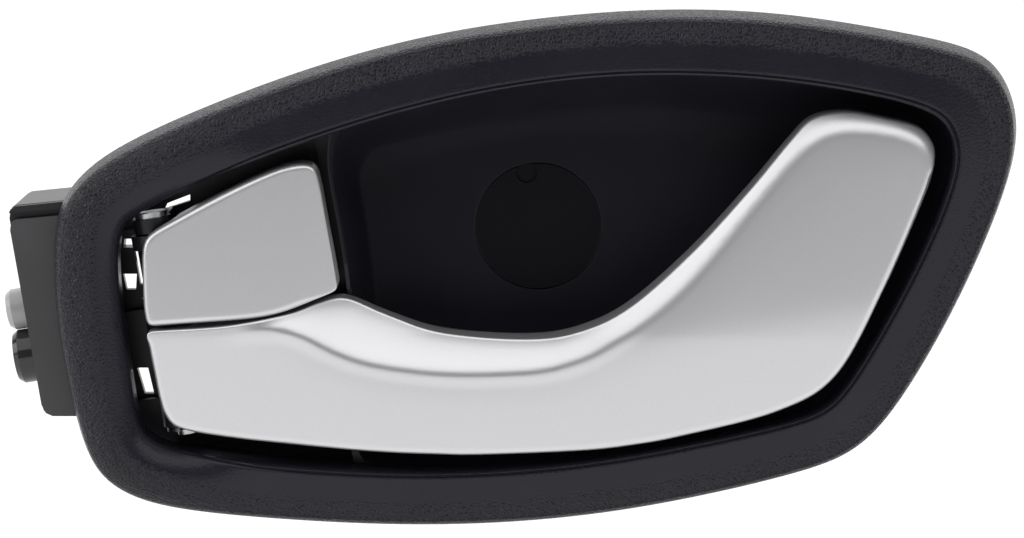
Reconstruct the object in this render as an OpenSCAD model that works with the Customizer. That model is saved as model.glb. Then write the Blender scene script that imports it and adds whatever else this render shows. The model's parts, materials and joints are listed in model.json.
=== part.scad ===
// Interior door handle: an oval surround with a finger bowl, a pull lever and
// a lock knob that share one leaning hinge pin. X right, Y into the door, Z up.
// The origin is on the fixing hole, where the bowl's boss meets the door panel.

/* [Surround] */
// Depth from the surround's rear rim to the fixing boss's seat
seat_depth = 30; // [29:0.5:32]
// Height of the surround's crest above its rear rim
crest = 7.8; // [7:0.1:8.4]
// Thickness of the moulded walls
wall = 2; // [1.6:0.1:2.2]

/* [Bowl] */
// Depth of the bowl's floor behind the rear rim
bowl_depth = 20; // [18:0.5:20.5]
// Radius of the screw cover
cap_r = 12.1; // [10:0.1:12.3]
// Radius of the fixing hole
fix_r = 2.75; // [2.2:0.05:3.2]

/* [Hinge] */
// Lean of the hinge pin from vertical, in degrees
lean = 9; // [8:0.5:10]
// Radius of the hinge pin
pin_r = 2; // [1.5:0.1:2.2]
// Running clearance on the pin's radius
run = 0.05; // [0.03:0.01:0.1]
// Outer radius of the hinge knuckles
knuckle_r = 4.4; // [4:0.1:4.6]

/* [Cables] */
// Radius of the seat for a cable's conduit end
conduit_r = 2.6; // [2:0.1:2.8]

/* [Hidden] */
eps = 0.01;
hx = -72;      // the hinge axis crosses Z = 0 at this X
hy = 0.5;      // and at this depth

// Outline of the surround at its rear rim, and the matching points of its opening
rim = [[-91,-4],[-90,5],[-86.5,11],[-80,16.5],[-67,23],[-45,31.5],[-22,38],[0,41.5],
  [22,43.2],[45,42.5],[67,39],[80,36],[86,31.5],[89,24.5],[89,16],[85.5,4],[78,-13.5],
  [68,-31],[60,-39.5],[50,-44],[30,-49],[6,-53],[-22,-54.5],[-50,-53.2],[-70,-51],
  [-80,-47],[-85,-41],[-88,-30.5],[-90.5,-16]];
mouth = [[-78.5,-5],[-78,1],[-76.3,4.2],[-72.5,6.5],[-62.5,11.6],[-42,19.5],[-20.5,25.9],
  [0,29.9],[21,31.5],[43,30.6],[61,27.9],[71,25.2],[75.3,22.3],[77,18],[76.6,12.5],
  [73.6,3.5],[67,-10.5],[59,-24.5],[54,-30.3],[47,-33.4],[29,-37.5],[6,-41.5],
  [-22,-43.2],[-48,-41.8],[-65,-39.7],[-71.8,-37.6],[-75,-34],[-76.3,-26],[-77.8,-15]];
// Finger bowl: its mouth and its floor
bowl_top = [[-37.5,6],[-38.6,13],[-37.6,19.6],[-34,22.3],[-20.5,26.5],[0,30.5],[21,32.1],
  [43,31.2],[61,28.5],[71.2,25.8],[75.8,22.7],[77.6,18],[77.2,12.4],[74.2,3.2],
  [67.6,-10.8],[59.6,-25],[54.4,-30.9],[47.2,-34],[29.1,-38.1],[6,-42.1],[-16,-43.8],
  [-29.5,-43.5],[-33.8,-41],[-34.6,-34],[-34.8,-22],[-35.4,-8]];
bowl_floor = [[-33.5,5],[-34,10],[-31.5,14],[-27,16],[-15,18.5],[0,20.8],[20,22.2],
  [40,21.5],[54,19.6],[61.5,17.6],[65,15],[66.3,11.5],[66,7.5],[63,-0.5],[57.5,-11.5],
  [51.5,-20.5],[47.5,-24.6],[42,-27],[27,-30.6],[5,-33.6],[-14,-34.7],[-24,-34.2],
  [-28.5,-31.5],[-30,-26],[-30.8,-18],[-32,-6]];
// Pull lever: outline's lower run and upper run, left to right, and the crease
// where the face meets the upper flank
lev_a = [[-71,-28.4],[-69.8,-32.2],[-66.8,-34.8],[-56,-36.6],[-45,-37.8],[-36.5,-38.6],
  [-28,-39.2],[-19.5,-39.5],[-11,-39.6],[8,-38.8],[17.5,-37.7],[26.5,-36],[44.5,-31.3],
  [55.5,-24.5],[64.3,-8.2],[71.4,8],[73.4,14],[73.6,18.2],[71.6,21.3]];
lev_b = [[-73.1,-16.6],[-72.5,-16.2],[-70,-16],[-58,-15.1],[-46.6,-13],[-41,-11.2],
  [-36,-10.5],[-28.5,-13.5],[-18,-16.8],[-2,-17.9],[8,-16.3],[17.4,-11.5],[29,-1.1],
  [39.6,10.6],[46.7,19.2],[51,23.4],[57.5,24.6],[64.4,23.4],[69,22.4]];
lev_c = [[-71.6,-17.7],[-71,-17.3],[-69,-17.1],[-58,-16.3],[-47,-14.9],[-41.5,-17.4],
  [-34,-21],[-24.5,-23],[-14,-24],[2,-23.2],[11.2,-20],[19.8,-14.2],[32,-3.2],
  [42.4,8.4],[49,16.6],[53.4,20.9],[58.6,22],[64.2,21.6],[67.8,20.7]];
lev_y = [-8.2,-8.4,-8.6,-9,-9.3,-9.6,-9.9,-10,-10,-10,-10,-10,-10,-10,-10,-9.8,-9.5,-9.1,-8.8];
// Lock knob outline
knob = [[-73.7,-6],[-73.7,-1.3],[-72.6,1.6],[-69,3.9],[-62.1,7.7],[-55.9,10.8],[-49.8,13.6],
  [-45.2,14.9],[-42,14.5],[-40.7,11.5],[-39.6,5],[-38.4,-1.5],[-37.7,-6],[-37.45,-8.1],
  [-38.4,-9],[-41,-10.05],[-45.4,-11.9],[-50.1,-13.35],[-56.2,-14.15],[-65.5,-14.75],
  [-71.2,-15.2],[-72.7,-15],[-73.3,-13.4],[-73.6,-10.5]];
// Screws that hold the surround to the housing
screw_at = [[-43.5,25.2],[21.5,37],[79,3.2],[29.5,-43],[-49,-47.9]];

function at(p, i) = p[(i + len(p)) % len(p)];
// A smooth closed curve close to the points p, n steps between each two of them
function ctrl(p, i) = at(p,i) - (at(p,i-1) - 2*at(p,i) + at(p,i+1)) / 6;
function bs(a, b, c, d, t) = (a*pow(1-t,3) + b*(3*t*t*t-6*t*t+4)
  + c*(-3*t*t*t+3*t*t+3*t+1) + d*t*t*t) / 6;
function loop(p, n) = [for (i=[0:len(p)-1]) for (k=[0:n-1])
  bs(ctrl(p,i-1), ctrl(p,i), ctrl(p,i+1), ctrl(p,i+2), k/n)];
// An open run of rows, n steps between each two of them
function row(p, i) = i < 0 ? 2*p[0] - p[1] : i >= len(p) ? 2*p[len(p)-1] - p[len(p)-2] : p[i];
function spread(p, n) = concat([for (i=[0:len(p)-2]) for (k=[0:n-1])
  let (t=k/n, a=row(p,i-1), b=row(p,i), c=row(p,i+1), d=row(p,i+2))
  0.5*(2*b + (c-a)*t + (2*a-5*b+4*c-d)*t*t + (3*b-a-3*c+d)*t*t*t)], [p[len(p)-1]]);
function mix(a, b, f) = [for (i=[0:len(a)-1]) a[i]*(1-f) + b[i]*f];
function lift(p, y) = [for (q=p) [q[0], y, q[1]]];
function scl(p, f, c) = [for (q=p) c + (q-c)*f];
function unit(v) = v / max(norm(v), 0.001);

// Surface through rings of equal length; closed both ways when wrap is set
module rings(r, wrap=false) {
  m = len(r); n = len(r[0]);
  mid0 = [for (k=[0:2]) avg([for (q=r[0]) q[k]])];
  mid1 = [for (k=[0:2]) avg([for (q=r[m-1]) q[k]])];
  pts = concat([for (q=r) each q], [mid0, mid1]);
  side = [for (j=[0:m-(wrap?1:2)]) for (i=[0:n-1]) each
    let (a=j*n+i, b=j*n+(i+1)%n, c=((j+1)%m)*n+(i+1)%n, d=((j+1)%m)*n+i) [[a,b,c],[a,c,d]]];
  caps = wrap ? [] : concat([for (i=[0:n-1]) [m*n, (i+1)%n, i]],
    [for (i=[0:n-1]) [m*n+1, (m-1)*n+i, (m-1)*n+(i+1)%n]]);
  polyhedron(wrap ? [for (q=r) each q] : pts, concat(side, caps), convexity=8);
}
function avg(v) = sumv(v, 0) / len(v);
function sumv(v, i) = i >= len(v) ? 0 : v[i] + sumv(v, i+1);

// Round wire swept along a path
module wire(p, r, n=8) {
  m = len(p);
  function tang(i) = unit(p[min(i+1,m-1)] - p[max(i-1,0)]);
  function side(i) = let (t=tang(i), u=abs(t[2])>0.9 ? [1,0,0] : [0,0,1]) unit(cross(t,u));
  rings([for (i=[m-1:-1:0]) let (t=tang(i), a=side(i), b=cross(t,a))
    [for (k=[0:n-1]) p[i] + r*(a*cos(360*k/n) + b*sin(360*k/n))]]);
}
// Plate drawn in X and Z, from depth y0 to y1
module plate(p, y0, y1) translate([0,y1,0]) rotate([90,0,0]) linear_extrude(y1-y0) polygon(p);
module ring_plate(p, q, y0, y1) translate([0,y1,0]) rotate([90,0,0]) linear_extrude(y1-y0)
  difference() { polygon(p); polygon(q); }
// Cylinder along Y, from depth y0 to y1
module ycyl(x, z, r, y0, y1) translate([x,y1,z]) rotate([90,0,0]) cylinder(h=y1-y0, r=r, $fn=64);
// Places its children in the leaning frame of the hinge, whose Z runs up the pin
module hinge() translate([hx,hy,0]) rotate([0,-lean,0]) children();
module hcyl(r, w0, w1) translate([0,0,w0]) cylinder(h=w1-w0, r=r, $fn=64);
module hbox(x0, x1, y0, y1, w0, w1) translate([x0,y0,w0]) cube([x1-x0, y1-y0, w1-w0]);
// Brings depths measured from the surround's rear rim to the fixing seat
module seat() translate([0,-seat_depth,0]) children();

R = loop(rim, 3);
M = loop(mouth, 3);
BT = loop(bowl_top, 3);
BF = loop(bowl_floor, 3);
K = loop(knob, 3);
kc = [-57, 0];

module bezel() color([0.13,0.13,0.14]) seat() difference() {
  union() {
    // section: share of the way to the opening, height by the hinge, height elsewhere
    rings([for (s=[[0.04,0,0],[0,-0.6,-0.6],[0.02,-1.6,-1.6],[0.06,-4.6,-4.6],[0.1,-5.6,-5.6],
      [0.2,-6.9,-6.8],[0.36,-crest+0.1,-crest+0.25],[0.52,-crest,-crest],[0.7,-crest+0.5,-crest],
      [0.86,-crest+1.6,-crest+0.1],[0.96,-crest+2.7,-crest+0.5],[1,-crest+3.6,-crest+1.3],
      [1,-0.1,-0.1],[0.85,-0.1,-0.1],[0.85,-crest+4.4,-crest+2.6],[0.7,-crest+2.6,-crest+2.2],
      [0.36,-crest+2.4,-crest+2.4],[0.22,-4.2,-4.2],[0.19,-0.6,-0.6],[0.16,0,0]])
      [for (i=[0:len(R)-1]) let (q=R[i]*(1-s[0])+M[i]*s[0], t=min(1, max(0, (R[i][0]+78)/26)),
        f=t*t*(3-2*t)) [q[0], s[1]+(s[2]-s[1])*f, q[1]]]], true);
    for (s=screw_at) ycyl(s[0], s[1], 2.6, -crest+1.7, 0.3);
  }
  for (s=screw_at) ycyl(s[0], s[1], 1.25, -4.5, 1);
}

module ear(w0, w1) { hcyl(knuckle_r, w0, w1); hbox(-knuckle_r, knuckle_r, 0, 13, w0, w1); }

module housing() color([0.09,0.09,0.1]) seat() difference() {
  union() {
    // bowl wall, floor and fixing boss
    rings([for (s=[[0,0.3],[0.1,4],[0.22,8],[0.37,12],[0.56,15.6],[0.78,18.6],[1.02,20.4],
      [1.02,22.6],[0.7,20.6],[0.44,17.4],[0.24,13.2],[0.1,9],[-0.02,4.6],[-0.19,2.3],[-0.19,0.3]])
      lift(mix(BT,BF,s[0]), s[1])], true);
    plate(mix(BT,BF,0.97), bowl_depth, bowl_depth+2.5);
    ycyl(0, 0, 9, bowl_depth+1, seat_depth);
    for (a=[0:60:300]) rotate([0,a,0]) hbox(8, 13, bowl_depth+2, seat_depth-3, -0.8, 0.8);
    // flange that the surround's screws hold
    ring_plate(mix(R,M,0.22), mix(R,M,0.98), 0.3, 2.3);
    // hinge compartment: floor and the walls above and below it
    plate([[-70.3,-42.5],[-36,-44],[-35,-10],[-38,15],[-40.5,21],[-63,11.6],[-67.4,10.8],
      [-75,8.3],[-80,4.5],[-83,0],[-83,-32],[-80,-38],[-75,-41.6]], 12, 14);
    plate([[-66.5,9.3],[-62.6,11.3],[-40,20],[-33,22.4],[-33,24.4],[-40,22.2],[-63.4,13.2],
      [-67.4,11.2]], 0.3, 14);
    plate([[-70,-41],[-50,-43],[-33,-44],[-33,-46],[-50,-45],[-70.3,-43]], 0.3, 14);
    plate([[-42.4,20],[-39,20.5],[-33.2,-43],[-37.2,-44.5]], 9.4, 14);
    hinge() {
      ear(-35.4, -31.3);
      ear(-17.1, -14.3);
      hcyl(3.6, 1.6, 4.3);
      hbox(-3.6, 3, 0, 13, 1.6, 4.3);
      hbox(-3.6, 3, 8, 13, -2.6, 4.3);
      // webs from the compartment to the cable box
      hbox(-13, 2, 9, 13.5, -2.6, 1.4);
      hbox(-13, 0, 9, 13.5, -25, -14);
      hbox(-13, 2, 9, 13.5, -37, -31.3);
      // saddles round the conduit ends
      for (c=[[-20.8,6.6],[-11.5,5.2]]) translate([-26.4,19.8,c[0]]) rotate([0,90,0])
        cylinder(h=7, r=c[1], $fn=64);
    }
    difference() {
      plate(box_out, 4.6, 26.5);
      plate(box_in, 4, 27);
    }
    plate([[-99.85,4.6],[-99.5,5.3],[-98.5,5.9],[-83,7.5],[-83,6.2]], 3.1, 5);
    // posts under the rubber stops
    hinge() { post(22,-27,5.2); post(19,-7.7,8.3); }
  }
  // cap recess, screw-head pocket and fixing hole
  ycyl(0, 0, cap_r+0.3, bowl_depth-4, bowl_depth+1.2);
  ycyl(0, 0, 7, bowl_depth, bowl_depth+5);
  ycyl(0, 0, fix_r, bowl_depth, seat_depth+1);
  for (s=screw_at) ycyl(s[0], s[1], 1.5, -1, 4);
  hinge() {
    hcyl(pin_r, -38, 12);
    hbox(-3.6, 15, 8, 15, -30.8, -25.2);
    hbox(1, 15, 8, 15, -26, -23.8);
    hbox(-5.7, 5, 8, 15, -9.5, -2.7);
    for (c=[[-20.8,5.35],[-11.5,4.05]]) translate([-40,19.8,c[0]]) rotate([0,90,0])
      cylinder(h=40, r=c[1], $fn=64);
    translate([22,5.2,-27]) rotate([-90,0,0]) cylinder(h=2.4, r=1.5, $fn=48);
    translate([19,8.3,-7.7]) rotate([-90,0,0]) cylinder(h=2.4, r=1.5, $fn=48);
  }
  // inside of the cable box, then openings left by the mould's cores beside the hinge
  plate(box_in, 6.4, 27);
  plate([[-79.4,-8.2],[-76.8,-8.2],[-77,-11.2],[-78.8,-11.2]], 8, 15);
  plate([[-77,-26.4],[-74.9,-26.4],[-73.8,-31.4],[-75.6,-31.4]], 8, 15);
  plate([[-79,-2.8],[-77.2,-2.8],[-77.2,-1.1],[-78.8,-1.1]], 8, 15);
  plate([[-71.3,4.3],[-66.4,5.9],[-66.4,7.1],[-70.8,5.4]], 8, 15);
  // way for the lever's and the knob's free edges
  plate([[-46,-40.5],[-30,-40.5],[-30,-9.5],[-46,-9.5]], -1, 1.9);
}
box_out = [[-99.9,3.4],[-99.75,4.8],[-99.3,5.6],[-98.5,6],[-82.5,7.6],[-82.5,-34.4],[-92.4,-34.4],
  [-93.4,-34.1],[-94.1,-33.4],[-94.5,-32.2]];
box_in = [[-97.7,1.4],[-97.2,2.4],[-84.3,3.8],[-84.3,-32.6],[-91.8,-32.6],[-92.8,-31.6]];
// Room for an ear and the way behind it
module ear_room(r, w0, w1) { hcyl(r, w0, w1); hbox(-r, r, 0, 20, w0, w1); }
module post(x, w, y) translate([x,y,w]) rotate([-90,0,0]) cylinder(h=13-y, r=3.4, $fn=48);

module cable_cover() color([0.15,0.15,0.16]) seat() {
  plate([[-99.6,1.4],[-99.4,2.8],[-98.6,3.4],[-82.7,4.9],[-82.7,-34.2],[-92.2,-34.2],[-93.5,-33.6],
    [-94.3,-32]], 2.9, 4.55);
  plate([[-97.2,1],[-96.8,1.8],[-84.5,3],[-84.5,-32.4],[-91.5,-32.4],[-92.1,-31.4]], 4.5, 6.8);
}

LA = spread(lev_a, 2); LC = spread(lev_c, 2); LB = spread(lev_b, 2); LY = spread(lev_y, 2);
nl = len(LA);
// Inward normal of the lower run
function ln(i) = let (t=unit(LA[min(i+1,nl-1)] - LA[max(i-1,0)])) [-t[1], t[0]];
function lv(i) = unit(LB[i] - LC[i]);
// One closed ring of the lever: inset d below, g of the way to the crease above, then back by e
function lev_ring(d, yb, g, e, yt) = concat(
  [for (i=[0:nl-1]) let (q=LB[i]+(LC[i]-LB[i])*g-lv(i)*e) [q[0], yt > 0 ? yt : LY[i]+10+yt, q[1]]],
  [for (i=[nl-1:-1:0]) let (q=LA[i]+ln(i)*d) [q[0], yb > 0 ? yb : LY[i]+10+yb, q[1]]]);
module lever_form(r) {
  m = len(r); n = 2*nl;
  side = [for (j=[0:m-2]) for (i=[0:n-1]) each
    let (a=j*n+i, b=j*n+(i+1)%n, c=(j+1)*n+(i+1)%n, d=(j+1)*n+i) [[a,b,c],[a,c,d]]];
  cap = [for (i=[0:nl-2]) each let (a=i, b=i+1, c=n-2-i, d=n-1-i) [[a,b,c],[a,c,d]]];
  top = (m-1)*n;
  polyhedron([for (q=r) each q], concat(side, [for (f=cap) [f[2],f[1],f[0]]],
    [for (f=cap) [top+f[0],top+f[1],top+f[2]]]), convexity=10);
}
module lever_shell() color([0.72,0.72,0.74]) seat() difference() {
  lever_form([lev_ring(4, -7.8, 1, 0.9, -7.6), lev_ring(2.6, -5.4, 0.5, 1.8, -5),
    lev_ring(2.2, 1.2, 0, 2, 1.2), lev_ring(0.3, 1.2, 0, 0, 1.2), lev_ring(0, -1.6, 0.04, 0, -1.8),
    lev_ring(0, -3.4, 0.14, 0, -4.2), lev_ring(0.25, -6.2, 0.42, 0, -7), lev_ring(0.9, -8.1, 0.76, 0, -8.9),
    lev_ring(2.4, -9.4, 1, 0, -9.8)]);
  hinge() { ear_room(5.2, -37, -31); ear_room(5.2, -17.4, -12); hcyl(knuckle_r, -32, -17); }
}

module lever_carrier() color([0.1,0.1,0.11]) seat() difference() {
  union() {
    plate([[-66.5,-19],[-65.4,-30],[-61.5,-32.2],[-45,-34.2],[-28,-35.6],[-11,-36.2],[8,-35.4],
      [25,-32.8],[42,-28.6],[52,-22.6],[60,-8],[67,8],[69,15.5],[66,18.4],[58,19.2],[53.5,18.6],
      [48.5,13.6],[42,6.2],[32,-5.4],[21.5,-18],[14,-22.4],[6,-25.6],[-12,-26.8],[-24,-25.6],
      [-33,-23],[-42,-19],[-48,-17.8]], -4.6, 0.6);
    plate([[46,6],[57,0],[65,16],[58,18],[53,17.4]], -4.8, 0.6);
    hinge() {
      hcyl(knuckle_r, -31, -26);
      hcyl(knuckle_r, -20.6, -17.4);
      hbox(0, 5.5, -4.2, 0.1, -31, -26);
      hbox(0, 5.5, -4.2, 0.1, -20.6, -19.5);
      // arm that pulls the release cable
      hbox(-2.2, 2.2, 0, 17, -29.2, -27);
      translate([0,17,-29.2]) cylinder(h=2.2, r=2.6, $fn=48);
    }
  }
  hinge() {
    hcyl(pin_r+run, -40, 0);
    hbox(-6, 4.6, -8, 5, -26, -20.6);
    ear_room(5.2, -37, -31);
    translate([0,17,-30]) cylinder(h=4, r=1.2, $fn=48);
  }
}

module knob_shell() color([0.68,0.68,0.7]) seat() difference() {
  rings([for (s=[[0.9,-6.4],[0.925,-5.4],[0.93,1],[1,1],[1,-6],[0.99,-7.2],[0.965,-8],[0.92,-8.4]])
    lift(scl(K, s[0], kc), s[1])]);
  hinge() { ear_room(5.2, -18, -14); ear_room(4.4, 1.3, 6); hcyl(knuckle_r, -15, 2); }
}

module knob_carrier() color([0.1,0.1,0.11]) seat() difference() {
  union() {
    plate([[-66,-11.6],[-44,-9.4],[-40.6,-6.4],[-43.6,9.4],[-46,11.6],[-50,10.8],[-66,3.4]], -6.2, 0.6);
    hinge() {
      hcyl(knuckle_r, -14, -10.6);
      hcyl(knuckle_r, -1.4, 1.3);
      hbox(0, 8, -4, 0.05, -13.5, -10.8);
      hbox(0, 8, -4, 0.05, -1.3, 1.1);
      hcyl(3.6, -11, -1);
      hbox(-2.2, 2.2, 0, 17, -8, -5.8);
      translate([0,17,-8]) cylinder(h=2.2, r=2.6, $fn=48);
      // cam that the detent spring presses
      hbox(1, 7.6, -3, 4, -4, -1.6);
    }
  }
  hinge() {
    hcyl(pin_r+run, -16, 6);
    translate([0,17,-9]) cylinder(h=4, r=1.2, $fn=48);
  }
}

module hinge_pin() color([0.62,0.63,0.65]) seat() hinge() difference() {
  union() { hcyl(pin_r, -37.3, 4.3); hcyl(3, 4.3, 5.3); }
  difference() { hcyl(3, -36.4, -35.6); hcyl(1.5, -37, -35); }
}
module pin_clip() color([0.45,0.46,0.48]) seat() hinge() difference() {
  hcyl(3.9, -36.35, -35.65);
  hcyl(1.5, -37, -35);
  hbox(-1.2, 1.2, -6, 0, -37, -35);
}

turns = 3;
module lever_spring() color([0.55,0.56,0.58]) seat() hinge() wire(concat(
  [[11,0.75,-21.2], [5.2,1.1,-21.2]],
  [for (i=[0:14*turns]) [3.2*cos(40-360*i/14), 3.2*sin(40-360*i/14), -21.3-1.3*i/14]],
  [[0.9,8,-24.9],[0.75,11.4,-24.9]]), 0.5);

module knob_detent_spring() color([0.6,0.61,0.63]) seat() hinge()
  translate([0,0.1,-4]) linear_extrude(2.4) polygon([[4.4,5.2],[6.8,4.4],[9.4,5.2],[12,8.2],[15,10.8],
    [21,10.8],[21,11.4],[14.8,11.4],[11.6,8.8],[9.1,5.9],[6.8,5.1],[4.6,5.8]]);

module stop(x, w, y0, y1) translate([x,y0,w]) rotate([-90,0,0]) {
  cylinder(h=y1-y0, r=3.1, $fn=48);
  cylinder(h=y1-y0+2.2, r=1.5, $fn=48);
}
module lever_bumper() color([0.07,0.07,0.07]) seat() hinge() stop(22, -27, 0.2, 5.2);
module knob_bumper() color([0.07,0.07,0.07]) seat() hinge() stop(19, -7.7, 5.4, 8.3);

module screw_cover() color([0.06,0.06,0.07]) seat() difference() {
  union() {
    ycyl(0, 0, cap_r, bowl_depth, bowl_depth+1.2);
    ycyl(0, 0, 6.9, bowl_depth+1, bowl_depth+3.4);
  }
  ycyl(0, 0, 5.6, bowl_depth+1.2, bowl_depth+5);
  translate([-2.2, bowl_depth-1, 10.4]) rotate([-90,0,0]) cylinder(h=1.6, r=2, $fn=48);
}

module housing_screws() color([0.5,0.51,0.53]) seat() for (s=screw_at) {
  ycyl(s[0], s[1], 1.25, -4.4, 2.4);
  difference() { ycyl(s[0], s[1], 2.4, 2.3, 3.9); ycyl(s[0], s[1], 0.9, 2.9, 5); }
}

module trim_clips() color([0.5,0.5,0.52]) seat() {
  clip(-8, 39, 8); clip(48, 40.4, -3); clip(-20, -53.4, 182); clip(36, -47, 167);
}
// Bent leaf on the flange's back: foot, then a tongue that leans outwards
module clip(x, z, a) translate([x,0,z]) rotate([0,-a,0]) translate([-4,0,0]) rotate([90,0,90])
  linear_extrude(8) polygon([[2.3,-7.4],[2.3,-2.6],[3.6,-2.6],[9,-0.3],[13.4,-3.1],[13,-3.6],
    [9,-1],[4,-3.2],[2.9,-3.2],[2.9,-7.4]]);

module foam_seal() color([0.16,0.16,0.17]) seat() difference() {
  ring_plate(mix(R,M,0.5), mix(R,M,0.74), 2.3, 5.5);
  for (s=screw_at) ycyl(s[0], s[1], 3.2, 2, 6);
  for (c=[[-8,39],[48,40.4],[-20,-53.4],[36,-47]]) ycyl(c[0], c[1], 9.2, 2, 6);
  plate([[-110,8.5],[-81,8.5],[-81,-35.5],[-110,-35.5]], 0, 30);
  plate([[-73,-39],[-30,-42],[-30,-47],[-50,-46.2],[-72,-44.6]], 2, 6);
}

module conduit_end(w, r) translate([-32.8,19.8,w]) rotate([0,90,0]) difference() {
  union() {
    translate([0,0,1]) cylinder(h=12.4, r=r, $fn=64);
    cylinder(h=1.01, r1=r-0.7, r2=r, $fn=64);
  }
  translate([0,0,-1]) cylinder(h=10, r=conduit_r, $fn=64);
  cylinder(h=20, r=1.1, $fn=64);
}
module release_conduit_end() color([0.08,0.08,0.09]) seat() hinge() conduit_end(-20.8, 5.25);
module lock_conduit_end() color([0.5,0.5,0.52]) seat() hinge() conduit_end(-11.5, 3.95);

// Clip that holds a cable's end on its arm
module cable_clip(y, w) translate([0,y,w]) difference() {
  union() { cylinder(h=2.6, r=2.6, $fn=48); translate([0,0,-2.2]) cylinder(h=2.4, r=1.15, $fn=48);
    translate([-5.4,-1.6,0.3]) cube([5.4,3.2,2]); }
  translate([-7,0,1.3]) rotate([0,90,0]) cylinder(h=14, r=0.8, $fn=48);
}
module release_cable_clip() color([0.75,0.74,0.7]) seat() hinge() cable_clip(17, -27);
module lock_cable_clip() color([0.75,0.74,0.7]) seat() hinge() cable_clip(17, -5.8);

// Soft pad on the back of the paddle
module paddle_pad() color([0.12,0.12,0.12]) seat()
  plate([[46,1],[55,-4],[62,10],[60,16],[54,15.5]], 0.6, 1.8);

bezel();
housing();
cable_cover();
lever_shell();
lever_carrier();
knob_shell();
knob_carrier();
hinge_pin();
pin_clip();
lever_spring();
knob_detent_spring();
lever_bumper();
knob_bumper();
screw_cover();
housing_screws();
trim_clips();
foam_seal();
release_conduit_end();
lock_conduit_end();
release_cable_clip();
lock_cable_clip();
paddle_pad();
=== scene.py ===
import bpy, bmesh, math, json
import numpy as np
from mathutils import Vector, Matrix


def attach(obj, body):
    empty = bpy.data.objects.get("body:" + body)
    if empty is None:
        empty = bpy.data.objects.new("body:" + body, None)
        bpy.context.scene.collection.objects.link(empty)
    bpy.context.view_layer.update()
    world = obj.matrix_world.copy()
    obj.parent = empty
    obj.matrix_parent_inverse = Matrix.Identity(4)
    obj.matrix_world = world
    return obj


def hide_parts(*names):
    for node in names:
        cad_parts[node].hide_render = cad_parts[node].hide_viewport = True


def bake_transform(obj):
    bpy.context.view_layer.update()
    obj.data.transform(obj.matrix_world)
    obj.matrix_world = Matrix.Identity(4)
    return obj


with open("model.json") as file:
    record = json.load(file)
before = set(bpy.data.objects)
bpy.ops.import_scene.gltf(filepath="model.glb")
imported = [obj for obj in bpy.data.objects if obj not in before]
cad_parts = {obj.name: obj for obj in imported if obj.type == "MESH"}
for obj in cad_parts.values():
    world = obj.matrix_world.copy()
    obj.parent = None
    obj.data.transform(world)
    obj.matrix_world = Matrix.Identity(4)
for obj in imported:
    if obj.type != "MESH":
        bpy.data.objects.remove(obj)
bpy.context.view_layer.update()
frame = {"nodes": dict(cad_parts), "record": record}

SEAT = 30.0            # depth from the surround's rear rim to the fixing seat, mm
LEAN = math.radians(9)
HX, HY = -72.0, 0.5

# ---------------------------------------------------------------- camera
EL = math.radians(8.0)
DIST = 0.700
MM_PX = 0.188
cam_data = bpy.data.cameras.new("camera")
cam = bpy.data.objects.new("camera", cam_data)
bpy.context.scene.collection.objects.link(cam)
target = Vector((-0.001, -0.030, -0.005))
view = Vector((0, math.cos(EL), -math.sin(EL)))
cam.location = target - view * DIST
cam.rotation_euler = view.to_track_quat("-Z", "Y").to_euler()
cam_data.sensor_width = 36.0
cam_data.lens = DIST * 1000 / MM_PX * 36.0 / 1024
cam_data.shift_x = -(533 - 512) / 1024
cam_data.shift_y = -(269 - 266) / 1024
cam_data.clip_start = 0.01
cam_data.clip_end = 20
bpy.context.scene.camera = cam

# ---------------------------------------------------------------- outlines, in mm
rim = [[-91,-4],[-90,5],[-86.5,11],[-80,16.5],[-67,23],[-45,31.5],[-22,38],[0,41.5],
  [22,43.2],[45,42.5],[67,39],[80,36],[86,31.5],[89,24.5],[89,16],[85.5,4],[78,-13.5],
  [68,-31],[60,-39.5],[50,-44],[30,-49],[6,-53],[-22,-54.5],[-50,-53.2],[-70,-51],
  [-80,-47],[-85,-41],[-88,-30.5],[-90.5,-16]]
mouth = [[-78.5,-5],[-78,1],[-76.3,4.2],[-72.5,6.5],[-62.5,11.6],[-42,19.5],[-20.5,25.9],
  [0,29.9],[21,31.5],[43,30.6],[61,27.9],[71,25.2],[75.3,22.3],[77,18],[76.6,12.5],
  [73.6,3.5],[67,-10.5],[59,-24.5],[54,-30.3],[47,-33.4],[29,-37.5],[6,-41.5],
  [-22,-43.2],[-48,-41.8],[-65,-39.7],[-71.8,-37.6],[-75,-34],[-76.3,-26],[-77.8,-15]]
lev_a = [[-71,-28.4],[-69.8,-32.2],[-66.8,-34.8],[-56,-36.6],[-45,-37.8],[-36.5,-38.6],
  [-28,-39.2],[-19.5,-39.5],[-11,-39.6],[8,-38.8],[17.5,-37.7],[26.5,-36],[44.5,-31.3],
  [55.5,-24.5],[64.3,-8.2],[71.4,8],[73.4,14],[73.6,18.2],[71.6,21.3]]
lev_b = [[-73.1,-16.6],[-72.5,-16.2],[-70,-16],[-58,-15.1],[-46.6,-13],[-41,-11.2],
  [-36,-10.5],[-28.5,-13.5],[-18,-16.8],[-2,-17.9],[8,-16.3],[17.4,-11.5],[29,-1.1],
  [39.6,10.6],[46.7,19.2],[51,23.4],[57.5,24.6],[64.4,23.4],[69,22.4]]
crease = [[-77,-18.2],[-71,-17.5],[-60,-16.7],[-50,-15.6],[-44.7,-16.6],[-38.6,-19.6],
  [-32.5,-21.8],[-26.2,-23],[-20.1,-23.7],[-14,-24],[-7.7,-23.9],[0,-23.4],[5,-22.3],[11,-19.9],
  [17.8,-15.2],[24.9,-8.9],[32,-1.2],[39,7.4],[46,15.8],[50.3,19.8],[54.6,21.6],[60.2,21.6],
  [66.6,20.6],[70.4,18.8],[72.3,16.3],[73.8,13],[75.5,8]]
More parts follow.
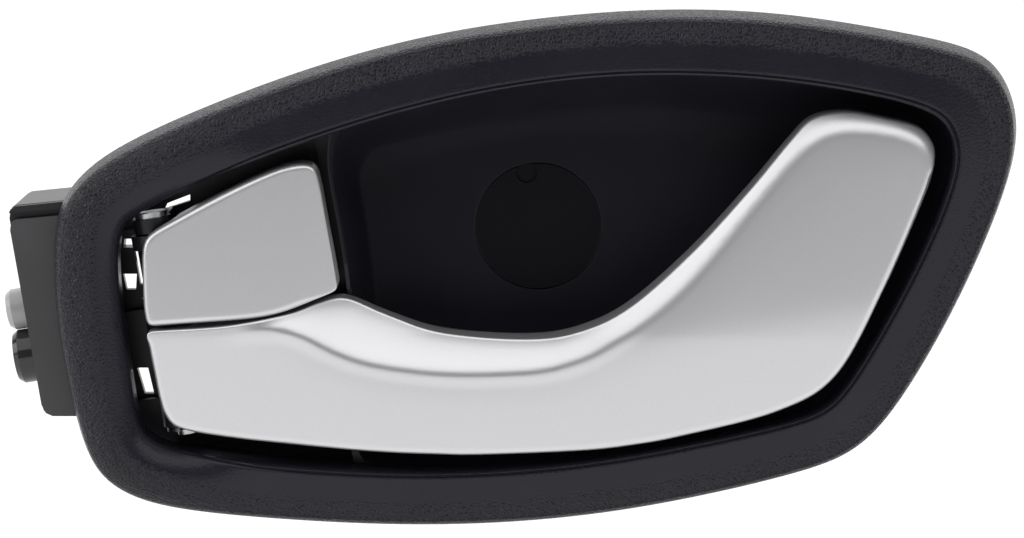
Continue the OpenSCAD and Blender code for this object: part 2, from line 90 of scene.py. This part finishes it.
knob = [[-73.7,-6],[-73.7,-1.3],[-72.6,1.6],[-69,3.9],[-62.1,7.7],[-55.9,10.8],[-49.8,13.6],
  [-45.2,14.9],[-42,14.5],[-40.7,11.5],[-39.6,5],[-38.4,-1.5],[-37.7,-6],[-37.45,-8.1],
  [-38.4,-9],[-41,-10.05],[-45.4,-11.9],[-50.1,-13.35],[-56.2,-14.15],[-65.5,-14.75],
  [-71.2,-15.2],[-72.7,-15],[-73.3,-13.4],[-73.6,-10.5]]

def loop(p, n):
    """Closed smooth curve close to the points p."""
    p = np.array(p, float)
    c = p - (np.roll(p, 1, 0) - 2*p + np.roll(p, -1, 0)) / 6
    t = np.arange(n) / n
    out = []
    for i in range(len(p)):
        a, b, d, e = c[(i-1) % len(p)], c[i], c[(i+1) % len(p)], c[(i+2) % len(p)]
        for k in t:
            out.append((a*(1-k)**3 + b*(3*k**3-6*k*k+4) + d*(-3*k**3+3*k*k+3*k+1) + e*k**3) / 6)
    return np.array(out)

def spread(p, n):
    """Open smooth curve through the rows p."""
    p = np.array(p, float)
    q = np.vstack([2*p[0]-p[1], p, 2*p[-1]-p[-2]])
    out = []
    for i in range(1, len(q)-2):
        a, b, c, d = q[i-1], q[i], q[i+1], q[i+2]
        for k in range(n):
            t = k / n
            out.append(0.5*(2*b + (c-a)*t + (2*a-5*b+4*c-d)*t*t + (3*b-a-3*c+d)*t**3))
    out.append(p[-1])
    return np.array(out)

def smooth_rows(p, times):
    """Evens out the middle of an open run of rows, its ends held."""
    p = np.array(p, float)
    for _ in range(times):
        p[1:-1] = 0.25*p[:-2] + 0.5*p[1:-1] + 0.25*p[2:]
    return p

def mm(x, y, z):
    """Photo-side depth y (from the rear rim) to the row frame, metres."""
    return (x / 1000, (y - SEAT) / 1000, z / 1000)

def hinge(x, y, w):
    """A point of the hinge's leaning frame, mm, to the row frame, metres."""
    c, s = math.cos(LEAN), math.sin(LEAN)
    return mm(HX + x*c - w*s, HY + y, x*s + w*c)

def new_piece(name, verts, faces, mat, smooth=40):
    me = bpy.data.meshes.new(name)
    me.from_pydata([tuple(v) for v in verts], [], faces)
    me.validate()
    bm = bmesh.new(); bm.from_mesh(me)
    bmesh.ops.recalc_face_normals(bm, faces=bm.faces)
    bm.to_mesh(me); bm.free()
    me.shade_smooth()
    if smooth:
        me.set_sharp_from_angle(angle=math.radians(smooth))
    me.materials.append(mat)
    ob = bpy.data.objects.new(name, me)
    bpy.context.scene.collection.objects.link(ob)
    return ob

def grid_faces(m, n, wrap_m=False, wrap_n=False, base=0):
    f = []
    for j in range(m if wrap_m else m-1):
        for i in range(n if wrap_n else n-1):
            a = base + j*n + i; b = base + j*n + (i+1) % n
            c = base + ((j+1) % m)*n + (i+1) % n; d = base + ((j+1) % m)*n + i
            f.append((a, b, c, d))
    return f

# ---------------------------------------------------------------- materials
def mat_new(name, color, rough, metallic=0.0, spec=0.5, coat=0.0, coat_rough=0.1):
    m = bpy.data.materials.new(name); m.use_nodes = True
    b = m.node_tree.nodes["Principled BSDF"]
    b.inputs["Base Color"].default_value = (*color, 1)
    b.inputs["Roughness"].default_value = rough
    b.inputs["Metallic"].default_value = metallic
    b.inputs["Specular IOR Level"].default_value = spec
    b.inputs["Coat Weight"].default_value = coat
    b.inputs["Coat Roughness"].default_value = coat_rough
    return m

def nodes_of(m):
    return m.node_tree.nodes, m.node_tree.links, m.node_tree.nodes["Principled BSDF"]

def tex_coord(nt, links, scale=1.0):
    tc = nt.new("ShaderNodeTexCoord"); mp = nt.new("ShaderNodeMapping")
    mp.inputs["Scale"].default_value = (scale, scale, scale)
    links.new(tc.outputs["Object"], mp.inputs["Vector"])
    return mp.outputs["Vector"]

def vary(m, color, amount, scale, rough=None, rough_amount=0.05):
    """Slow, slight variation of colour and roughness."""
    nt, links, b = nodes_of(m)
    v = tex_coord(nt, links)
    n = nt.new("ShaderNodeTexNoise"); n.inputs["Scale"].default_value = scale
    n.inputs["Detail"].default_value = 3
    links.new(v, n.inputs["Vector"])
    r = nt.new("ShaderNodeValToRGB")
    lo = [c*(1-amount) for c in color]; hi = [c*(1+amount) for c in color]
    r.color_ramp.elements[0].position = 0.3; r.color_ramp.elements[1].position = 0.7
    r.color_ramp.elements[0].color = (*lo, 1); r.color_ramp.elements[1].color = (*hi, 1)
    links.new(n.outputs["Fac"], r.inputs["Fac"]); links.new(r.outputs["Color"], b.inputs["Base Color"])
    if rough is not None:
        q = nt.new("ShaderNodeMapRange")
        q.inputs["To Min"].default_value = rough - rough_amount
        q.inputs["To Max"].default_value = rough + rough_amount
        links.new(n.outputs["Fac"], q.inputs["Value"]); links.new(q.outputs["Result"], b.inputs["Roughness"])
    return n

def bump(m, kind, scale, dist, strength=1.0, detail=2.0):
    nt, links, b = nodes_of(m)
    v = tex_coord(nt, links)
    if kind == "grain":
        # fine leather-like cells with soft valleys between them
        w = nt.new("ShaderNodeTexNoise"); w.inputs["Scale"].default_value = scale*0.5
        add = nt.new("ShaderNodeVectorMath"); add.operation = "MULTIPLY_ADD"
        links.new(v, w.inputs["Vector"])
        links.new(w.outputs["Color"], add.inputs[0])
        add.inputs[1].default_value = (0.0006, 0.0006, 0.0006)
        links.new(v, add.inputs[2])
        t = nt.new("ShaderNodeTexVoronoi"); t.feature = "DISTANCE_TO_EDGE"
        t.inputs["Scale"].default_value = scale
        links.new(add.outputs[0], t.inputs["Vector"])
        r = nt.new("ShaderNodeMapRange"); r.interpolation_type = "SMOOTHSTEP"
        r.inputs["From Max"].default_value = 0.3
        links.new(t.outputs["Distance"], r.inputs["Value"])
        n2 = nt.new("ShaderNodeTexNoise"); n2.inputs["Scale"].default_value = scale*2.2
        links.new(v, n2.inputs["Vector"])
        mix = nt.new("ShaderNodeMath"); mix.operation = "MULTIPLY_ADD"
        mix.inputs[1].default_value = 0.35
        links.new(n2.outputs["Fac"], mix.inputs[0]); links.new(r.outputs["Result"], mix.inputs[2])
        h = mix.outputs[0]
    else:
        n = nt.new("ShaderNodeTexNoise"); n.inputs["Scale"].default_value = scale
        n.inputs["Detail"].default_value = detail
        links.new(v, n.inputs["Vector"]); h = n.outputs["Fac"]
    bp = nt.new("ShaderNodeBump"); bp.inputs["Distance"].default_value = dist
    bp.inputs["Strength"].default_value = strength
    links.new(h, bp.inputs["Height"]); links.new(bp.outputs["Normal"], b.inputs["Normal"])
    return m

M_bezel = mat_new("grained_plastic", (0.0115, 0.0112, 0.0172), 0.28, spec=0.28)
vary(M_bezel, (0.0115, 0.0112, 0.0172), 0.12, 60, 0.28, 0.04); bump(M_bezel, "grain", 1300, 0.0003, 1.0)
# the mould's grain is deep on the outer half of the band and fades on the inner half
nt, links, b = nodes_of(M_bezel)
at = nt.new("ShaderNodeAttribute"); at.attribute_name = "band"
fade = nt.new("ShaderNodeMapRange"); fade.interpolation_type = "SMOOTHSTEP"
fade.inputs["From Min"].default_value = 0.34; fade.inputs["From Max"].default_value = 0.56
fade.inputs["To Min"].default_value = 0.00018; fade.inputs["To Max"].default_value = 0.00002
links.new(at.outputs["Fac"], fade.inputs["Value"])
links.new(fade.outputs["Result"], [n for n in nt if n.type == "BUMP"][0].inputs["Distance"])
# painted fill light: the bowl is the housing's black plastic, given a lighter base colour and little specular
# so the shaded bowl reads lighter
M_bowl_painted_fill = mat_new("bowl_plastic_painted_fill", (0.0185, 0.0180, 0.0245), 0.34, spec=0.05)
vary(M_bowl_painted_fill, (0.0185, 0.0180, 0.0245), 0.12, 40, 0.34, 0.06); bump(M_bowl_painted_fill, "noise", 2500, 0.00003, 0.5)
M_black = mat_new("black_plastic", (0.0105, 0.0105, 0.0135), 0.30, spec=0.34)
vary(M_black, (0.0105, 0.0105, 0.0135), 0.15, 40, 0.34, 0.06); bump(M_black, "noise", 2500, 0.00003, 0.5)
M_grey = mat_new("dark_grey_plastic", (0.045, 0.045, 0.048), 0.5)
vary(M_grey, (0.045, 0.045, 0.048), 0.12, 80, 0.5, 0.05); bump(M_grey, "noise", 2200, 0.00004, 0.5)
M_silver = mat_new("silver_paint", (0.66, 0.66, 0.675), 0.35, metallic=0.82)
vary(M_silver, (0.66, 0.66, 0.675), 0.03, 5000, 0.35, 0.02); bump(M_silver, "noise", 3200, 0.000012, 0.5)
M_steel = mat_new("zinc_steel", (0.55, 0.56, 0.58), 0.32, metallic=1.0)
vary(M_steel, (0.55, 0.56, 0.58), 0.12, 500, 0.32, 0.08); bump(M_steel, "noise", 1800, 0.00002, 0.5)
M_spring = mat_new("spring_steel", (0.13, 0.13, 0.14), 0.34, metallic=1.0)
vary(M_spring, (0.13, 0.13, 0.14), 0.2, 300, 0.34, 0.08); bump(M_spring, "noise", 2600, 0.00001, 0.5)
M_rubber = mat_new("rubber", (0.012, 0.012, 0.012), 0.8, spec=0.3)
vary(M_rubber, (0.012, 0.012, 0.012), 0.2, 300, 0.8, 0.06); bump(M_rubber, "noise", 2500, 0.00004, 0.6)
M_foam = mat_new("foam", (0.03, 0.03, 0.032), 0.95, spec=0.15)
vary(M_foam, (0.03, 0.03, 0.032), 0.35, 900, 0.95, 0.04); bump(M_foam, "grain", 1500, 0.0003, 1.0)
M_gloss = mat_new("gloss_black_plastic", (0.022, 0.022, 0.024), 0.12)
vary(M_gloss, (0.022, 0.022, 0.024), 0.2, 100, 0.12, 0.03); bump(M_gloss, "noise", 1500, 0.00001, 0.4)
# painted highlight: this light grey goes on the upper cable boss and stands in for the light falling on its
# top; the boss below it, in its shade, is gloss black
M_grey_painted_lit = mat_new("grey_plastic", (0.38, 0.38, 0.385), 0.3)
vary(M_grey_painted_lit, (0.38, 0.38, 0.385), 0.1, 100, 0.3, 0.04); bump(M_grey_painted_lit, "noise", 1500, 0.00002, 0.4)
M_nylon = mat_new("natural_nylon", (0.70, 0.68, 0.61), 0.42)
vary(M_nylon, (0.70, 0.68, 0.61), 0.05, 200, 0.42, 0.05); bump(M_nylon, "noise", 1500, 0.00002, 0.4)
M_nylon.node_tree.nodes["Principled BSDF"].inputs["Subsurface Weight"].default_value = 0.15
M_nylon.node_tree.nodes["Principled BSDF"].inputs["Subsurface Scale"].default_value = 0.002

SLOT = {"grained_plastic": M_bezel, "black_plastic": M_black, "dark_grey_plastic": M_grey,
        "silver_paint": M_silver, "steel": M_steel, "spring_steel": M_spring, "rubber": M_rubber,
        "foam": M_foam, "gloss_black_plastic": M_gloss, "grey_plastic": M_grey_painted_lit,
        "natural_nylon": M_nylon}
M_cap = mat_new("cap_plastic", (0.0100, 0.0098, 0.0135), 0.36, spec=0.05)
vary(M_cap, (0.0100, 0.0098, 0.0135), 0.12, 40, 0.36, 0.05); bump(M_cap, "noise", 2500, 0.00003, 0.5)
slot_of = {s["node"]: s["material_slot"] for s in frame["record"]["subparts"]}

# ---------------------------------------------------------------- CAD nodes that stay
REPLACED = {"bezel", "lever_shell", "knob_shell", "lever_spring", "knob_detent_spring"}
BEVEL = {"housing": 0.35, "cable_cover": 0.45, "lever_carrier": 0.4, "knob_carrier": 0.3,
         "screw_cover": 0.3, "hinge_pin": 0.25, "pin_clip": 0.1, "lever_bumper": 0.3,
         "knob_bumper": 0.3, "housing_screws": 0.2, "trim_clips": 0.08, "foam_seal": 0.25,
         "release_conduit_end": 0.25, "lock_conduit_end": 0.25, "release_cable_clip": 0.2,
         "lock_cable_clip": 0.2, "paddle_pad": 0.3}
for name, ob in frame["nodes"].items():
    ob.data.materials.clear()
    ob.data.materials.append(M_cap if name == "screw_cover" else SLOT[slot_of[name]])
    if name in REPLACED:
        continue
    ob.data.shade_smooth()
    ob.data.set_sharp_from_angle(angle=math.radians(32))
    if name in BEVEL:
        b = ob.modifiers.new("edge", "BEVEL")
        b.width = BEVEL[name] / 1000; b.segments = 2; b.limit_method = "ANGLE"
        b.angle_limit = math.radians(45); b.harden_normals = True; b.use_clamp_overlap = True

# ---------------------------------------------------------------- surround
N = 8
Rr, Mm = loop(rim, N), loop(mouth, N)
side = [[0.0, 0.0], [0.004, -0.25], [0.02, -1.4], [0.05, -3.2], [0.082, -4.9]]
corner = [[0.095, -5.4], [0.12, -5.85], [0.155, -6.25]]
front = spread([[0.155, -6.25], [0.26, -7.05], [0.38, -7.55], [0.5, -7.78], [0.62, -7.7],
                [0.74, -7.3], [0.86, -6.45], [0.955, -5.3]], 4)[1:].tolist()
lip = [[0.985, -4.85], [0.998, -4.5], [1.0, -4.1], [1.003, -2.5], [1.0, -0.12]]
back = [[0.86, -0.12], [0.85, -3.4], [0.80, -4.3], [0.7, -5.1], [0.36, -5.4], [0.24, -4.6],
        [0.19, -3.8], [0.17, -1.0], [0.165, 0.0]]
lip = spread(lip[:4], 3).tolist()[:-1] + lip[3:]
prof = side + corner + front + lip + back
# away from the hinge the band rises all the way to a fine bead round the opening
flat = spread([[0.155, -6.2], [0.22, -6.42], [0.30, -6.63], [0.38, -6.81], [0.46, -6.95],
               [0.60, -7.2], [0.75, -7.46], [0.90, -7.7]], 4)[1:].tolist()
flat_lip = [[0.915, -7.64], [0.926, -7.42], [0.932, -7.32], [0.938, -7.33], [0.964, -7.72],
            [0.97, -7.76], [0.98, -7.74], [0.992, -7.5], [1.0, -7.05], [1.003, -3.2], [1.0, -0.12]]
prof2 = side + corner + flat + flat_lip + back
verts, m = [], len(prof)
for (s, y), (s2, y2) in zip(prof, prof2):
    w = np.clip((Rr[:, 0] + 78)/26, 0, 1); w = w*w*(3-2*w)
    ss = s + (s2-s)*w; yy = y + (y2-y)*w
    for k in range(len(Rr)):
        q = Rr[k]*(1-ss[k]) + Mm[k]*ss[k]
        verts.append(mm(q[0], yy[k], q[1]))
bezel = new_piece("bezel_moulding", verts, grid_faces(m, len(Rr), True, True), M_bezel, 38)
band = bezel.data.attributes.new("band", "FLOAT", "POINT")
band.data.foreach_set("value", [float(q[0]) for q in prof2 for _ in range(len(Rr))])
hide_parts("bezel"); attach(bezel, "base")

# ---------------------------------------------------------------- lining of the finger bowl
bowl_top = [[-37.5,6],[-38.6,13],[-37.6,19.6],[-34,22.3],[-20.5,26.5],[0,30.5],[21,32.1],
  [43,31.2],[61,28.5],[71.2,25.8],[75.8,22.7],[77.6,18],[77.2,12.4],[74.2,3.2],
  [67.6,-10.8],[59.6,-25],[54.4,-30.9],[47.2,-34],[29.1,-38.1],[6,-42.1],[-16,-43.8],
  [-29.5,-43.5],[-33.8,-41],[-34.6,-34],[-34.8,-22],[-35.4,-8]]
bowl_floor = [[-33.5,5],[-34,10],[-31.5,14],[-27,16],[-15,18.5],[0,20.8],[20,22.2],
  [40,21.5],[54,19.6],[61.5,17.6],[65,15],[66.3,11.5],[66,7.5],[63,-0.5],[57.5,-11.5],
  [51.5,-20.5],[47.5,-24.6],[42,-27],[27,-30.6],[5,-33.6],[-14,-34.7],[-24,-34.2],
  [-28.5,-31.5],[-30,-26],[-30.8,-18],[-32,-6]]
BT, BF = loop(bowl_top, N), loop(bowl_floor, N)
# the lever crosses the left rim, so the lining starts deeper there
left = np.clip((-31.5 - BT[:, 0])/2, 0, 1)*np.clip((-5 - BT[:, 1])/4, 0, 1)
rows = []
for s, y in spread(
    [[-0.15, 0.2], [-0.06, 0.2], [0.0, 0.5], [0.1, 3.9], [0.22, 7.9], [0.37, 11.8], [0.56, 15.2], [0.76, 17.7], [0.92, 18.75]], 4):
    s1 = (s + 0.015 + left*max(0, 0.06 - 0.98*s))[:, None]
    rows.append((BT*(1-s1) + BF*s1, y + left*max(0, 2.4 - 0.9*y)))
foot = rows[-1][0]
turn = np.arctan2(foot[:, 1], foot[:, 0])
cap_edge = np.stack([12.45*np.cos(turn), 12.45*np.sin(turn)], 1)
for t in (0.04, 0.09, 0.15, 0.22, 0.3, 0.4, 0.55, 0.7, 0.85, 0.96, 1.0):
    k = min(1, t/0.4)
    rows.append((foot*(1-t) + cap_edge*t, 18.75 + 1.05*(2*k - k*k)))
rows += [(cap_edge, 19.95), (cap_edge, 21.0)]
verts = [mm(q[0], d, q[1]) for P, y in rows for q, d in zip(P, np.broadcast_to(y, len(P)))]
# the lining wears the lighter painted-fill black, which stands in for light inside the shaded bowl
lining = new_piece("bowl_lining", verts, grid_faces(len(rows), len(BT), False, True), M_bowl_painted_fill, 50)
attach(lining, "base")

# ---------------------------------------------------------------- moulded skins
from mathutils.geometry import delaunay_2d_cdt

def even(p, step, closed=True):
    """The run of points p with even steps."""
    p = np.array(p, float)
    if closed:
        p = np.vstack([p, p[:1]])
    s = np.concatenate([[0], np.cumsum(np.linalg.norm(np.diff(p, axis=0), axis=1))])
    n = max(4, int(round(s[-1]/step)))
    u = np.linspace(0, s[-1], n + (0 if closed else 1), endpoint=not closed)
    return np.stack([np.interp(u, s, p[:, 0]), np.interp(u, s, p[:, 1])], 1)

def soften(p, times):
    for _ in range(times):
        p = 0.25*np.roll(p, 1, 0) + 0.5*p + 0.25*np.roll(p, -1, 0)
    return p

def near(P, C, closed=False):
    """Distance from each of P to the run C, and on which side of it (left is plus)."""
    A = C; B = np.roll(C, -1, 0)
    if not closed:
        A, B = C[:-1], C[1:]
    D = B - A; L = (D*D).sum(1)
    best = np.full(len(P), 1e9); side = np.ones(len(P))
    for k in range(0, len(P), 2000):
        Q = P[k:k+2000, None, :] - A[None]
        t = np.clip((Q*D[None]).sum(2)/L[None], 0, 1)
        R = Q - t[..., None]*D[None]
        d = np.sqrt((R*R).sum(2)); m = d.argmin(1); r = np.arange(len(m))
        best[k:k+2000] = d[r, m]
        cr = D[m, 0]*Q[r, m, 1] - D[m, 1]*Q[r, m, 0]
        side[k:k+2000] = np.where(cr >= 0, 1, -1)
    return best, side

def inside(P, C):
    A, B = C, np.roll(C, -1, 0)
    hit = np.zeros(len(P), bool)
    for a, b in zip(A, B):
        if a[1] == b[1]:
            continue
        x = a[0] + (P[:, 1]-a[1])/(b[1]-a[1])*(b[0]-a[0])
        hit ^= ((a[1] > P[:, 1]) != (b[1] > P[:, 1])) & (P[:, 0] < x)
    return hit

def step(x, a, b):
    t = np.clip((x-a)/(b-a), 0, 1)
    return t*t*(3-2*t)

def soft(x, w):
    return 0.5*(x + np.sqrt(x*x + w*w))

INSETS = [0.015, 0.05, 0.1, 0.17, 0.26, 0.37, 0.5, 0.66, 0.85, 1.08, 1.35, 1.65, 2.0]
def skin(name, outline, height, rear, mat, cell):
    """A moulded cap: its face given as a depth over the outline, its sides down to the rear edge."""
    C = outline
    if (C[:, 0]*np.roll(C[:, 1], -1) - C[:, 1]*np.roll(C[:, 0], -1)).sum() < 0:
        C = C[::-1]
    n = len(C)
    T = np.roll(C, -1, 0) - np.roll(C, 1, 0)
    N = np.stack([-T[:, 1], T[:, 0]], 1); N /= np.linalg.norm(N, axis=1)[:, None]
    pts = [C]
    for d in INSETS:
        q = C + N*d
        ok = inside(q, C) & (near(q, C, True)[0] > d*0.96)
        pts.append(q[ok])
    x = np.arange(C[:, 0].min(), C[:, 0].max(), cell); z = np.arange(C[:, 1].min(), C[:, 1].max(), cell*0.866)
    g = np.array([(a + (cell/2 if k % 2 else 0), b) for k, b in enumerate(z) for a in x])
    ok = inside(g, C); g = g[ok]
    g = g[near(g, C, True)[0] > INSETS[-1] + cell*0.5]
    pts.append(g)
    P = np.vstack(pts)
    out = delaunay_2d_cdt([Vector(q) for q in P], [], [list(range(n))], 1, 1e-6)
    V = np.array([(v.x, v.y) for v in out[0]])
    faces = [tuple(f) for f in out[2]]
    y = height(V, near(V, C, True)[0])
    verts = [mm(V[k, 0], y[k], V[k, 1]) for k in range(len(V))]
    back = {}                                     # which output vertex each outline point became
    for k, o in enumerate(out[3]):
        for q in o:
            if q < n:
                back[q] = k
    ring = [back[k] for k in range(n)]
    yr = rear(C)
    y0 = y[ring]
    last = ring
    for f in (0.03, 0.1, 0.25, 0.5, 0.75, 1.0):
        base = len(verts)
        verts += [mm(C[k, 0], y0[k] + (yr[k]-y0[k])*f, C[k, 1]) for k in range(n)]
        new = list(range(base, base+n))
        faces += [(last[k], last[(k+1) % n], new[(k+1) % n], new[k]) for k in range(n)]
        last = new
    return new_piece(name, verts, faces, mat, 0)

def rear_edge(C, y):
    """Rear edge of a skin, arched over the hinge knuckles."""
    c, s = math.cos(LEAN), math.sin(LEAN)
    xh = c*(C[:, 0]-HX) + s*C[:, 1]
    arch = HY - np.sqrt(np.clip(5.2**2 - xh*xh, 0, None))
    return np.minimum(y, np.where(np.abs(xh) < 5.2, arch, y))

def rounding(d, r):
    q = np.clip(r-d, 0, None)
    return r - np.sqrt(np.clip(r*r - q*q, 0, None))

# ---------------------------------------------------------------- pull lever
LA, LB = spread(lev_a, 8), spread(lev_b, 8)
lever_line = soften(even(np.vstack([LA, LB[::-1]]), 0.5), 3)
CR = spread(crease, 8)
CR += np.outer(step(CR[:, 0], 12, 30)*(1-step(CR[:, 0], 50, 62)), [0.55, -0.5])
TOP = even(np.vstack([LB, LA[::-1][:30]]), 0.8, False)
LX = np.array([-76, -68, -58, -47, -36, -22, -8, 20, 42, 55, 65, 72, 78.])
LYV = np.array([1.9, 1.45, 1.05, 0.75, 0.45, 0.18, 0.05, 0, 0.05, 0.3, 0.7, 1.1, 1.5])
def smooth_interp(x, xs, ys):
    return sum(np.interp(x + o, xs, ys)*w for o, w in zip((-6, -3, 0, 3, 6), (0.1, 0.24, 0.32, 0.24, 0.1)))
def lever_height(V, d):
    x, z = V[:, 0], V[:, 1]
    v, _ = near(V, TOP); s, sg = near(V, CR); s = s*sg
    se = soft(s, 0.85 + 0.6*step(x, -50, -34))
    W = v + se
    q = np.clip(se/np.maximum(W, 0.4), 0, 1)
    hollow = 0.45*(1-step(x, 2, 26))
    drop = np.minimum(6.2, (0.60 + 0.14*step(x, 2, 26))*W + 0.1)*((1+hollow)*q - hollow*q*q)*(0.06 + 0.94*step(x, -57, -45))
    dish = 0.46*step(-s, -0.3, 2.8)*step(x, -62, -44)*(1-0.8*step(x, 4, 28))
    tilt = 0.028*np.clip(-20 - z, -3, 30)
    line = -16.5 + 0.141*(x-29.9) + 0.045*np.clip(22-x, 0, None)**2
    bend = 0.084*soft(z-line, 3.0)*step(x, -5, 12)
    r = 1.25*(1-step(s, -1.5, 0.5)) + 0.38*step(s, -1.5, 0.5)
    y = -9.98 + smooth_interp(x, LX, LYV) + tilt + bend + dish + drop
    return np.minimum(y + rounding(d, np.maximum(r, 0.3)), 0.6)
lever = skin("lever_skin", lever_line, lever_height, lambda C: rear_edge(C, 1.2), M_silver, 0.9)
sol = lever.modifiers.new("skin", "SOLIDIFY"); sol.thickness = 0.0008; sol.offset = -1
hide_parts("lever_shell"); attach(lever, "lever")

# ---------------------------------------------------------------- lock knob
knob_line = soften(even(loop(knob, 8), 0.5), 1)
def knob_height(V, d):
    x, z = V[:, 0], V[:, 1]
    fall = 1.5*step(x, -50, -33)**1.3 + 0.25*np.clip((-64-x)/9, 0, 1)**2
    crown = 0.0002*(x+56)**2 + 0.065*(z+15)
    return -8.5 + fall + crown + rounding(d, 1.1 - 0.75*step(x, -45, -39))
knob_ob = skin("knob_skin", knob_line, knob_height, lambda C: rear_edge(C, 1.0), M_silver, 0.8)
sol = knob_ob.modifiers.new("skin", "SOLIDIFY"); sol.thickness = 0.0008; sol.offset = -1
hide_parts("knob_shell"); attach(knob_ob, "knob")

# ---------------------------------------------------------------- return spring
path = [hinge(11, 0.75, -21.2), hinge(8, 0.85, -21.2), hinge(5.2, 1.1, -21.2)]
for i in range(0, 14*3*3+1):
    a = math.radians(40 - 360*i/42)
    path.append(hinge(3.2*math.cos(a), 3.2*math.sin(a), -21.3 - 1.3*i/42))
path += [hinge(0.9, 8, -24.9), hinge(0.75, 11.4, -24.9)]
cu = bpy.data.curves.new("return_coil", "CURVE"); cu.dimensions = "3D"
cu.bevel_depth = 0.0005; cu.bevel_resolution = 3; cu.use_fill_caps = True
sp = cu.splines.new("POLY"); sp.points.add(len(path)-1)
for p, q in zip(sp.points, path):
    p.co = (*q, 1)
cu.materials.append(M_spring)
coil = bpy.data.objects.new("return_coil", cu)
bpy.context.scene.collection.objects.link(coil)
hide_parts("lever_spring"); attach(coil, "base")

# ---------------------------------------------------------------- detent leaf
# its fixed end sits at the housing and its free end rests on the knob's cam; it is built as one fixed strip
run = spread([[4.5, 5.6], [6.8, 4.85], [9.25, 5.65], [11.8, 8.55], [14.9, 11.2], [18, 11.2], [21, 11.2]], 6)
tan = np.gradient(run, axis=0); tan /= np.linalg.norm(tan, axis=1)[:, None]
nor = np.stack([-tan[:, 1], tan[:, 0]], 1)
verts, faces = [], []
for q, d in zip(run, nor):
    for u, w in ((-0.28, -3.95), (-0.28, -1.65), (0.28, -1.65), (0.28, -3.95)):
        verts.append(hinge(q[0]+d[0]*u, q[1]+d[1]*u, w))
faces = grid_faces(len(run), 4, False, True) + [(0, 1, 2, 3), tuple(4*(len(run)-1)+k for k in (3, 2, 1, 0))]
leaf = new_piece("detent_leaf", verts, faces, M_spring, 40)
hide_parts("knob_detent_spring")
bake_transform(leaf)

# ---------------------------------------------------------------- floor, backdrop and light
def cyclorama():
    pts = [(-1.5, -0.075)]
    for i in range(13):
        a = math.radians(90*i/12)
        pts.append((1.2 + 0.5*math.sin(a), -0.075 + 0.5*(1-math.cos(a))))
    pts.append((1.7, 2.0))
    vs, fs = [], []
    for y, z in pts:
        vs += [(-3, y, z), (3, y, z)]
    for i in range(len(pts)-1):
        fs.append((2*i, 2*i+1, 2*i+3, 2*i+2))
    me = bpy.data.meshes.new("floor"); me.from_pydata(vs, [], fs); me.shade_smooth()
    ob = bpy.data.objects.new("floor", me); bpy.context.scene.collection.objects.link(ob)
    m = mat_new("floor_white", (0.12, 0.12, 0.12), 0.9, spec=0.0)
    b = m.node_tree.nodes["Principled BSDF"]
    b.inputs["Emission Color"].default_value = (1, 1, 1, 1)
    b.inputs["Emission Strength"].default_value = 0.98
    me.materials.append(m)
cyclorama()

def area(name, loc, aim, size, size_y, power, color=(1, 1, 1)):
    l = bpy.data.lights.new(name, "AREA"); l.shape = "RECTANGLE"
    l.size = size; l.size_y = size_y; l.energy = power; l.color = color
    o = bpy.data.objects.new(name, l); bpy.context.scene.collection.objects.link(o)
    o.location = loc
    o.rotation_euler = (Vector(aim) - Vector(loc)).to_track_quat("-Z", "Y").to_euler()
    return o
area("top", (0.0, -0.10, 0.9), (0, -0.10, 0), 3.2, 2.8, 39)
area("left", (-1.5, -0.22, 0.45), (0, -0.03, 0), 1.2, 0.8, 8)
area("right", (0.30, -0.40, 0.02), (0.08, -0.03, 0.01), 0.3, 0.2, 0.04)
world = bpy.data.worlds.new("world"); bpy.context.scene.world = world
world.use_nodes = True
world.node_tree.nodes["Background"].inputs["Color"].default_value = (1, 1, 1, 1)
world.node_tree.nodes["Background"].inputs["Strength"].default_value = 0.10
bpy.context.scene.view_settings.view_transform = "Standard"
bpy.context.scene.view_settings.look = "None"
